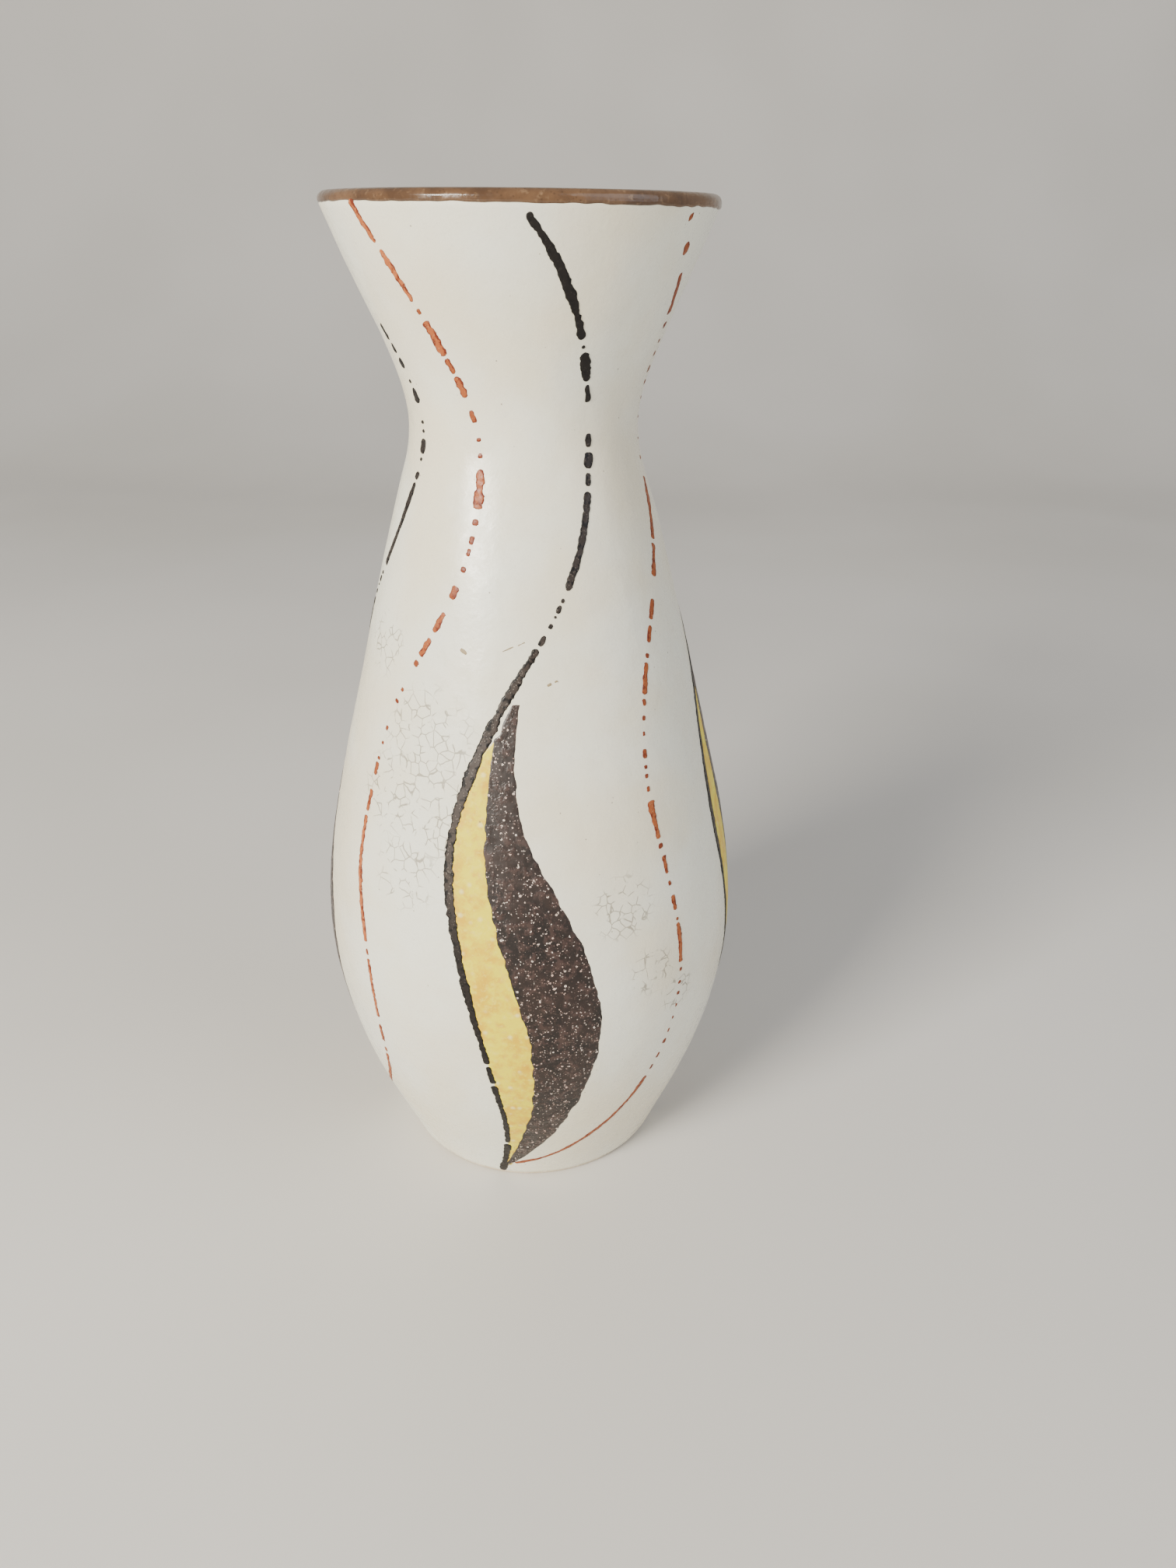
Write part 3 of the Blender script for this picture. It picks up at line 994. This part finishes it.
# %% The start of a pool
def pool_start(name, heights, lefts, rights, columns):
    """A grid between two edges, with the distance and the way in from the nearer edge at each point."""
    spots, edge, inward, broad = [], [], [], []
    radii = side(heights)
    for z, left, right, r in zip(heights, lefts, rights, radii):
        for share in np.linspace(0, 1, columns):
            turn = left + (right - left) * share
            spots.append((r * math.sin(turn), -r * math.cos(turn), z))
            from_left, from_right = (turn - left) * r, (right - turn) * r
            edge.append(min(from_left, from_right, heights[-1] - z))
            broad.append(min(1.0, (right - left) * r / (12 * mm)))
            # The way in is to the right from the left edge and to the left from the right one.
            sign = 1 if from_left < from_right else -1
            inward.extend((sign * math.cos(turn), sign * math.sin(turn), 0))
    rows = len(heights)
    faces = [(i * columns + j, i * columns + j + 1, (i + 1) * columns + j + 1, (i + 1) * columns + j)
             for i in range(rows - 1) for j in range(columns - 1)]
    mesh = bpy.data.meshes.new(name)
    mesh.from_pydata(spots, [], faces)
    mesh.attributes.new("edge", "FLOAT", "POINT").data.foreach_set("value", edge)
    mesh.attributes.new("broad", "FLOAT", "POINT").data.foreach_set("value", broad)
    mesh.attributes.new("inwards", "FLOAT_VECTOR", "POINT").data.foreach_set("vector", inward)
    return mesh


# %% The yellow and brown fields
# The numbers are how high the field stands and how ragged its edge is, in millimetres, then the pinholes on
# a square millimetre, and how far, in millimetres, the field reaches under its left and right neighbour.
rows, columns = 260, 60
for n in motifs:
    for colour_name, slot, material, lift, ragged_by, holes, grow in (
            ("yellow", "yellow_glaze", yellow_glaze, 0.06, 0.4, 0, (1.5, 1.4)),
            ("brown", "leaf_brown_glaze", brown_glaze, 0.12, 1.2, 0.42, (1.3, 0.8))):
        node = f"{colour_name}_leaf_{n}"
        low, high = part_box(node)[0].z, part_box(node)[1].z
        heights = np.linspace(low + 0.2 * mm, high - 0.2 * mm, rows)
        lefts, rights = edges_at(node, heights)
        radii = side(heights)
        # Near the tip the reach gets shorter, so that the tip stays thin.
        reach = np.clip((high - heights) / (5 * mm), 0.35, 1.0) * mm / radii
        start = pool_start(node, heights, lefts - grow[0] * reach, rights + grow[1] * reach, columns)
        field = grown(node.replace("leaf", "pool"), start, pool, {
            "Ruler": ruler, "Material": material, "Lift": lift * mm, "Ragged": ragged_by * mm,
            "Holes": pinhole_white, "Holes on a square metre": holes / mm**2, "Seed": n},
            thickness=paint_thickness)
        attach(field, "root")
        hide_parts(node)

# %% [markdown]
# ## Scuffs
#
# A few short brown marks lie on the white between the leaves, where a loaded brush touched it. They use the
# same brush tree, each with its own small path: an angle, a height, a climb, a width and a sweep.

# %% Small marks
scuffs = [(-19, 156, 1.2, 0.9, -2.6), (-3.5, 157.2, 1.2, 0.3, 4), (1, 158.4, 0.8, 0.35, 2.6),
          (10, 149.3, 0.5, 0.5, 1.6), (12.3, 149.9, 0.3, 0.4, 1.2)]
for number, (angle, height, climb, width_here, sweep) in enumerate(scuffs, start=1):
    start = stroke_start("scuff", lambda z, a=angle, h=height, s=sweep / climb:
                         math.radians(a + s * (z / mm - h)),
                         [(height + climb / 2, height - climb / 2, width_here, 0.6)])
    scuff = grown(f"scuff_{number}", start, brush, {
        "Ruler": ruler, "Material": iron_stain, "Lift": 0.04 * mm, "Roughness": 0.5},
        thickness=paint_thickness)
    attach(scuff, "root")
# Nothing is laid on the side any more, so the ruler can go.
bpy.data.objects.remove(ruler)

# %% [markdown]
# ## Floor, light and camera
#
# The floor is a pale sheet that curves up behind the vase. One large soft light stands to the left and in
# front, a weaker one fills from the right, and the world adds a little pale light from everywhere. The
# camera stands level with the rim and looks down at the vase.

# %% The sheet of paper
# The sheet lies flat from front to back, bends up in a quarter circle and ends at its top.
front, back, bend_radius, top, half_width = -1.6, 0.9, 0.5, 2.2, 2.2
sheet_outline = [(front, 0.0), (back, 0.0)] + [
    (back + bend_radius * math.sin(math.radians(a)), bend_radius - bend_radius * math.cos(math.radians(a)))
    for a in range(6, 90, 6)] + [(back + bend_radius, bend_radius), (back + bend_radius, top)]
sheet = bpy.data.meshes.new("paper_sweep")
spots = [(x, y, z) for x in (-half_width, half_width) for y, z in sheet_outline]
count = len(sheet_outline)
sheet.from_pydata(spots, [], [(k, count + k, count + k + 1, k + 1) for k in range(count - 1)])
sheet.shade_smooth()
paper, tree, place = new_material("pale_paper")
colour = layered(tree, "#dedad3", [(mottle(tree, place, 300 * mm, (0.3, 0.7)), 1, "#d6d2ca")])
finish_shader(paper, colour, mottle(tree, place, 30 * mm, (0.3, 0.7), (0.8, 0.9)))
sheet.materials.append(paper)
show("paper_sweep", sheet)

# %% Soft light
world = bpy.data.worlds.new("studio")
bpy.context.scene.world = world
world.use_nodes = True
sky = world.node_tree.nodes["Background"].inputs
sky["Color"].default_value = linear("#f2f4f8")
sky["Strength"].default_value = 0.45


def soft_light(name, size, power, spot, tint, towards=(0, 0, 120 * mm)):
    """A square light of a size in metres and a power in watts, turned to the vase's middle."""
    lamp = bpy.data.lights.new(name, "AREA")
    lamp.shape, lamp.size, lamp.energy, lamp.color = "SQUARE", size, power, linear(tint)[:3]
    holder = bpy.data.objects.new(name, lamp)
    holder.location = spot
    holder.rotation_euler = (Vector(towards) - Vector(spot)).to_track_quat("-Z", "Y").to_euler()
    bpy.context.scene.collection.objects.link(holder)


soft_light("window", 0.45, 30, (-0.74, -0.9, 0.62), "#fffaf0")
soft_light("fill", 1.2, 8, (1.1, -0.6, 0.8), "#eef3ff")
print("lights", [lamp.name for lamp in bpy.data.lights])

# %% The camera
camera_place = (15.94 * mm, -290.9 * mm, 243.36 * mm)
looks_down, leans = math.radians(25.31), math.radians(0.504)
eye = bpy.data.cameras.new("camera")
eye.sensor_width, eye.lens = 36, 27.05
camera = bpy.data.objects.new("camera", eye)
camera.matrix_world = (
    Matrix.Translation(camera_place) @ Matrix.Rotation(math.radians(90) - looks_down, 4, "X")
    @ Matrix.Rotation(leans, 4, "Z"))
bpy.context.scene.collection.objects.link(camera)
bpy.context.scene.camera = camera
print("camera", [round(value, 3) for value in camera.matrix_world.translation])
